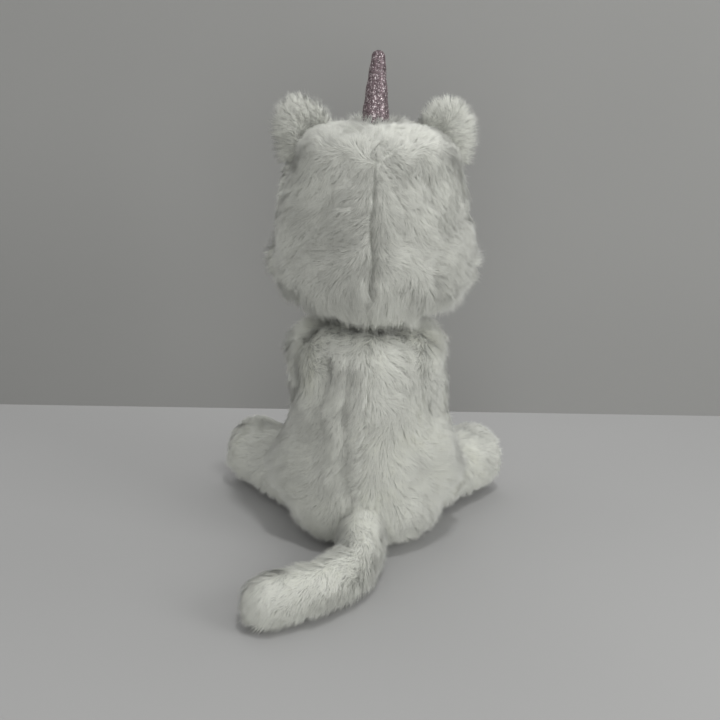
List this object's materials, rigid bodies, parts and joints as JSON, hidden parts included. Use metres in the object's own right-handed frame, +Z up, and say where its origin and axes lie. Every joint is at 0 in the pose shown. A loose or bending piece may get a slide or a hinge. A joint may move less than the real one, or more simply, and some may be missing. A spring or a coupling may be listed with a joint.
{
  "type": "plush unicorn",
  "caption": "Sitting plush unicorn with a cat-like body: long off-white fur, glitter horn, rounded ears, splayed hind legs and a thick curled tail.",
  "frame": {"origin": "centre of the flat seat, on the surface that the toy sits on", "axes": "+Z up; the toy faces -Y; +X is its own left"},
  "size_m": [0.212, 0.2366, 0.322],
  "materials": {
    "long_fur": "long off-white plush pile on a knitted backing, with combed locks",
    "short_plush": "short off-white plush",
    "pink_plush": "short dusty pink plush",
    "glitter_cloth": "dusty pink cloth coated with fine glitter",
    "pink_flock": "flocked pink nose",
    "mouth_thread": "brown embroidery thread",
    "polyester_stuffing": "loose white polyester fibre",
    "pouch_cloth": "plain cotton",
    "pellets": "small plastic pellets, packed",
    "eye_plastic": "glossy black",
    "washer_plastic": "plain moulded white"
  },
  "bodies": {
    "torso": {"seat_panel": "long_fur", "belly_panel": "long_fur", "back_panel_left": "long_fur", "back_panel_right": "long_fur", "body_stuffing": "polyester_stuffing", "pellet_pouch": "pouch_cloth", "pellet_filling": "pellets"},
    "neck": {"neck_throat": "short_plush"},
    "head": {"face_panel": "long_fur", "head_back_panel_left": "long_fur", "head_back_panel_right": "long_fur", "cheek_tuft_left": "long_fur", "cheek_tuft_right": "long_fur", "head_stuffing": "polyester_stuffing", "muzzle": "short_plush", "nose": "pink_flock", "mouth_stitches": "mouth_thread", "eye_left": "eye_plastic", "eye_right": "eye_plastic", "eye_washer_left": "washer_plastic", "eye_washer_right": "washer_plastic"},
    "horn": {"horn_sleeve": "glitter_cloth", "horn_stuffing": "polyester_stuffing"},
    "tail": {"tail_skin": "long_fur", "tail_stuffing": "polyester_stuffing"},
    "ear_left": {"ear_back_left": "long_fur", "ear_lining_left": "pink_plush"},
    "foreleg_left": {"foreleg_skin_left": "long_fur", "foreleg_stuffing_left": "polyester_stuffing"},
    "hind_leg_left": {"hind_leg_skin_left": "long_fur", "hind_leg_stuffing_left": "polyester_stuffing", "hind_sole_patch_left": "pink_plush"},
    "ear_right": {"ear_back_right": "long_fur", "ear_lining_right": "pink_plush"},
    "foreleg_right": {"foreleg_skin_right": "long_fur", "foreleg_stuffing_right": "polyester_stuffing"},
    "hind_leg_right": {"hind_leg_skin_right": "long_fur", "hind_leg_stuffing_right": "polyester_stuffing", "hind_sole_patch_right": "pink_plush"}
  },
  "joints": [
    {"name": "head_turn", "type": "hinge", "parent": "torso", "child": "neck", "pos_m": [0, -0.004, 0.154], "axis": [0, 0, 1], "range_deg": [-40, 40], "stiffness_Nm_per_rad": 0.6},
    {"name": "head_nod", "type": "hinge", "parent": "neck", "child": "head", "pos_m": [0, -0.004, 0.154], "axis": [1, 0, 0], "range_deg": [-12, 12], "stiffness_Nm_per_rad": 2},
    {"name": "ear_fold_left", "type": "hinge", "parent": "head", "child": "ear_left", "pos_m": [0.0428, -0.008, 0.264], "axis": [0.9511, 0, -0.309], "range_deg": [-15, 15], "stiffness_Nm_per_rad": 0.05},
    {"name": "ear_fold_right", "type": "hinge", "parent": "head", "child": "ear_right", "pos_m": [-0.0428, -0.008, 0.264], "axis": [0.9511, 0, 0.309], "range_deg": [-15, 15], "stiffness_Nm_per_rad": 0.05},
    {"name": "horn_flex", "type": "hinge", "parent": "head", "child": "horn", "pos_m": [0, -0.008, 0.27], "axis": [1, 0, 0], "range_deg": [-12, 12], "stiffness_Nm_per_rad": 0.08},
    {"name": "foreleg_lift_left", "type": "hinge", "parent": "torso", "child": "foreleg_left", "pos_m": [0.027, -0.044, 0.106], "axis": [-1, 0, 0], "range_deg": [0, 68], "stiffness_Nm_per_rad": 0.25},
    {"name": "foreleg_lift_right", "type": "hinge", "parent": "torso", "child": "foreleg_right", "pos_m": [-0.027, -0.044, 0.106], "axis": [-1, 0, 0], "range_deg": [0, 68], "stiffness_Nm_per_rad": 0.25},
    {"name": "hind_leg_swing_left", "type": "hinge", "parent": "torso", "child": "hind_leg_left", "pos_m": [0.043, -0.027, 0.0265], "axis": [0, 0, 1], "range_deg": [-3, 14], "stiffness_Nm_per_rad": 0.4},
    {"name": "hind_leg_swing_right", "type": "hinge", "parent": "torso", "child": "hind_leg_right", "pos_m": [-0.043, -0.027, 0.0265], "axis": [0, 0, -1], "range_deg": [-3, 14], "stiffness_Nm_per_rad": 0.4},
    {"name": "tail_swing", "type": "hinge", "parent": "torso", "child": "tail", "pos_m": [0, 0.046, 0.0255], "axis": [0, 0, 1], "range_deg": [-18, 18], "stiffness_Nm_per_rad": 0.2}
  ]
}
